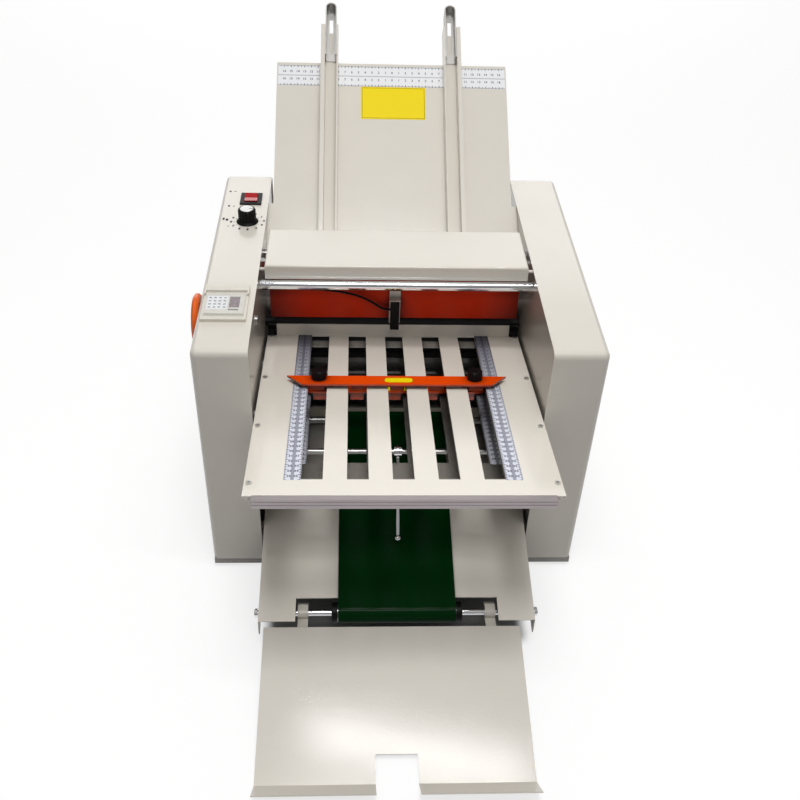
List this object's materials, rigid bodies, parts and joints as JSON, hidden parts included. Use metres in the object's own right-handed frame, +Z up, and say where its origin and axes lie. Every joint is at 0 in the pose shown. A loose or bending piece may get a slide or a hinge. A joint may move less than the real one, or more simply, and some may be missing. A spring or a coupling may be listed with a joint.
{
  "type": "paper folding machine",
  "caption": "Desk machine that feeds sheets between driven rollers into slotted fold plates and delivers them folded on a belt.",
  "frame": {"origin": "on the floor, on the machine's mid plane, at the middle of its length", "axes": "+Z up, +Y towards the feed tray at the back, +X towards the right side seen from the front"},
  "size_m": [0.499, 0.9775, 0.5617],
  "materials": {
    "body_paint": "warm grey powder coat with a fine orange-peel texture",
    "frame_paint": "warm grey paint, satin",
    "bright_steel": "ground steel",
    "chrome": "polished chrome plate",
    "black_rubber": "matt black rubber",
    "cork_pad": "matt friction pad",
    "green_belt": "glossy dark green belt",
    "orange_paint": "glossy orange enamel",
    "orange_plastic": "glossy orange plastic",
    "red_paint": "glossy dark red enamel",
    "black_plastic": "matt black plastic",
    "motor_paint": "black paint",
    "red_lens": "glossy red plastic",
    "grey_plastic": "light grey plastic",
    "clear_plastic": "clear plastic",
    "bar_aluminium": "extruded aluminium, satin",
    "bush_bronze": "sintered bronze",
    "board": "printed circuit board"
  },
  "bodies": {
    "machine": {"base_pan": "body_paint", "left_housing": "body_paint", "right_housing": "body_paint", "upper_plate_top": "body_paint", "upper_plate_bottom": "body_paint", "lower_plate_top": "body_paint", "lower_plate_bottom": "body_paint", "delivery_table": "body_paint", "feed_tray": "body_paint", "left_side_frame": "frame_paint", "right_side_frame": "frame_paint", "fixing_screws": "bright_steel", "tie_bars": "bright_steel", "feed_guide": "bright_steel", "rear_deflector": "bright_steel", "sensor_bracket": "bright_steel", "cross_tube": "chrome", "rubber_feet": "black_rubber", "drive_belt": "black_rubber", "separator_pad": "cork_pad", "delivery_belt": "green_belt", "red_cover_plate": "red_paint", "latch_blocks": "black_plastic", "sensor_body": "black_plastic", "switch_frame": "black_plastic", "power_inlet": "black_plastic", "sensor_lead": "black_plastic", "drive_motor": "motor_paint", "counter_case": "grey_plastic", "upper_front_bar": "bar_aluminium", "roller_bushes": "bush_bronze", "control_board": "board"},
    "roller_1": {"fold_roller_1": "black_rubber"},
    "roller_2": {"fold_roller_2": "black_rubber"},
    "roller_3": {"fold_roller_3": "black_rubber"},
    "roller_4": {"fold_roller_4": "bright_steel"},
    "roller_5": {"fold_roller_5": "black_rubber"},
    "feed_axle": {"feed_shaft": "bright_steel", "feed_roller": "black_rubber"},
    "hand_axle": {"idler_shaft": "bright_steel", "handwheel": "orange_plastic"},
    "motor_rotor": {"motor_pulley": "motor_paint"},
    "belt_rear": {"rear_belt_roller": "bright_steel"},
    "belt_front": {"front_belt_roller": "chrome"},
    "left_arm": {"left_guide_arm": "body_paint"},
    "right_arm": {"right_guide_arm": "body_paint"},
    "left_insert": {"left_arm_insert": "chrome"},
    "right_insert": {"right_arm_insert": "chrome"},
    "upper_stop": {"upper_stop_bar": "orange_paint"},
    "upper_knob_left": {"upper_left_knob": "black_plastic"},
    "upper_knob_right": {"upper_right_knob": "black_plastic"},
    "lower_stop": {"lower_stop_bar": "orange_paint", "lower_stop_knobs": "black_plastic"},
    "cover": {"top_cover": "body_paint"},
    "tray": {"receiving_tray": "body_paint", "tray_hooks": "body_paint"},
    "hold_down": {"hold_down_rod": "chrome"},
    "rocker": {"rocker_button": "red_lens"},
    "dial": {"speed_knob": "black_plastic"},
    "counter_lid": {"counter_cover": "clear_plastic"}
  },
  "joints": [
    {"name": "roller_3_spin", "type": "hinge", "parent": "machine", "child": "roller_3", "pos_m": [0, 0.10767, 0.18287], "axis": [1, 0, 0], "continuous": true},
    {"name": "roller_1_spin", "type": "hinge", "parent": "machine", "child": "roller_1", "pos_m": [0, 0.10577, 0.24183], "axis": [1, 0, 0], "continuous": true},
    {"name": "roller_2_spin", "type": "hinge", "parent": "machine", "child": "roller_2", "pos_m": [0, 0.10123, 0.21217], "axis": [1, 0, 0], "continuous": true},
    {"name": "roller_4_spin", "type": "hinge", "parent": "machine", "child": "roller_4", "pos_m": [0, 0.10314, 0.15322], "axis": [1, 0, 0], "continuous": true},
    {"name": "roller_5_spin", "type": "hinge", "parent": "machine", "child": "roller_5", "pos_m": [0, 0.07595, 0.14054], "axis": [1, 0, 0], "continuous": true},
    {"name": "feed_spin", "type": "hinge", "parent": "machine", "child": "feed_axle", "pos_m": [0, 0.14419, 0.32764], "axis": [1, 0, 0], "continuous": true},
    {"name": "handwheel_spin", "type": "hinge", "parent": "machine", "child": "hand_axle", "pos_m": [0, -0.0155, 0.327], "axis": [1, 0, 0], "continuous": true},
    {"name": "motor_spin", "type": "hinge", "parent": "machine", "child": "motor_rotor", "pos_m": [0, -0.0155, 0.044], "axis": [1, 0, 0], "continuous": true},
    {"name": "rear_belt_spin", "type": "hinge", "parent": "machine", "child": "belt_rear", "pos_m": [0, 0.04695, 0.10811], "axis": [1, 0, 0], "continuous": true},
    {"name": "front_belt_spin", "type": "hinge", "parent": "machine", "child": "belt_front", "pos_m": [0, -0.2495, 0.04239], "axis": [1, 0, 0], "continuous": true},
    {"name": "left_arm_slide", "type": "slide", "parent": "machine", "child": "left_arm", "axis": [1, 0, 0], "range_m": [-0.055, 0.02]},
    {"name": "right_arm_slide", "type": "slide", "parent": "machine", "child": "right_arm", "axis": [1, 0, 0], "range_m": [-0.02, 0.055]},
    {"name": "left_insert_slide", "type": "slide", "parent": "left_arm", "child": "left_insert", "axis": [0, 0.8192, 0.5736], "range_m": [-0.02, 0.03]},
    {"name": "right_insert_slide", "type": "slide", "parent": "right_arm", "child": "right_insert", "axis": [0, 0.8192, 0.5736], "range_m": [-0.02, 0.03]},
    {"name": "upper_stop_slide", "type": "slide", "parent": "machine", "child": "upper_stop", "axis": [0, -0.9885, 0.1513], "range_m": [-0.1, 0.2]},
    {"name": "lower_stop_slide", "type": "slide", "parent": "machine", "child": "lower_stop", "axis": [0, -0.9885, 0.1513], "range_m": [-0.04, 0.16]},
    {"name": "upper_left_knob_turn", "type": "hinge", "parent": "upper_stop", "child": "upper_knob_left", "pos_m": [-0.0998, -0.04896, 0.26136], "axis": [0, 0.1513, 0.9885], "range_deg": [-180, 180]},
    {"name": "upper_right_knob_turn", "type": "hinge", "parent": "upper_stop", "child": "upper_knob_right", "pos_m": [0.0998, -0.04896, 0.26136], "axis": [0, 0.1513, 0.9885], "range_deg": [-180, 180]},
    {"name": "top_cover_hinge", "type": "hinge", "parent": "machine", "child": "cover", "pos_m": [0, 0.051, 0.361], "axis": [1, 0, 0], "range_deg": [0, 90]},
    {"name": "receiving_tray_hinge", "type": "hinge", "parent": "machine", "child": "tray", "pos_m": [0, -0.2495, 0.04239], "axis": [1, 0, 0], "range_deg": [-50, 0]},
    {"name": "hold_down_hinge", "type": "hinge", "parent": "machine", "child": "hold_down", "pos_m": [0.003, -0.0815, 0.164], "axis": [1, 0, 0], "range_deg": [-30, 0]},
    {"name": "rocker_tilt", "type": "hinge", "parent": "machine", "child": "rocker", "pos_m": [-0.2017, 0.229, 0.3655], "axis": [1, 0, 0], "range_deg": [-14, 0]},
    {"name": "speed_knob_turn", "type": "hinge", "parent": "machine", "child": "dial", "pos_m": [-0.202, 0.1665, 0.365], "axis": [0, 0, 1], "range_deg": [-270, 0]},
    {"name": "counter_cover_hinge", "type": "hinge", "parent": "machine", "child": "counter_lid", "pos_m": [-0.211, -0.02225, 0.3713], "axis": [1, 0, 0], "range_deg": [-100, 0]}
  ],
  "couplings": [
    {"joint": "roller_1_spin", "follows": "roller_3_spin", "ratio": 1},
    {"joint": "roller_5_spin", "follows": "roller_3_spin", "ratio": 1},
    {"joint": "roller_2_spin", "follows": "roller_3_spin", "ratio": -1},
    {"joint": "roller_4_spin", "follows": "roller_3_spin", "ratio": -1},
    {"joint": "feed_spin", "follows": "roller_3_spin", "ratio": 0.75},
    {"joint": "handwheel_spin", "follows": "roller_3_spin", "ratio": 1},
    {"joint": "motor_spin", "follows": "roller_3_spin", "ratio": 1.8},
    {"joint": "rear_belt_spin", "follows": "roller_3_spin", "ratio": -0.52632},
    {"joint": "front_belt_spin", "follows": "roller_3_spin", "ratio": -0.52632}
  ]
}
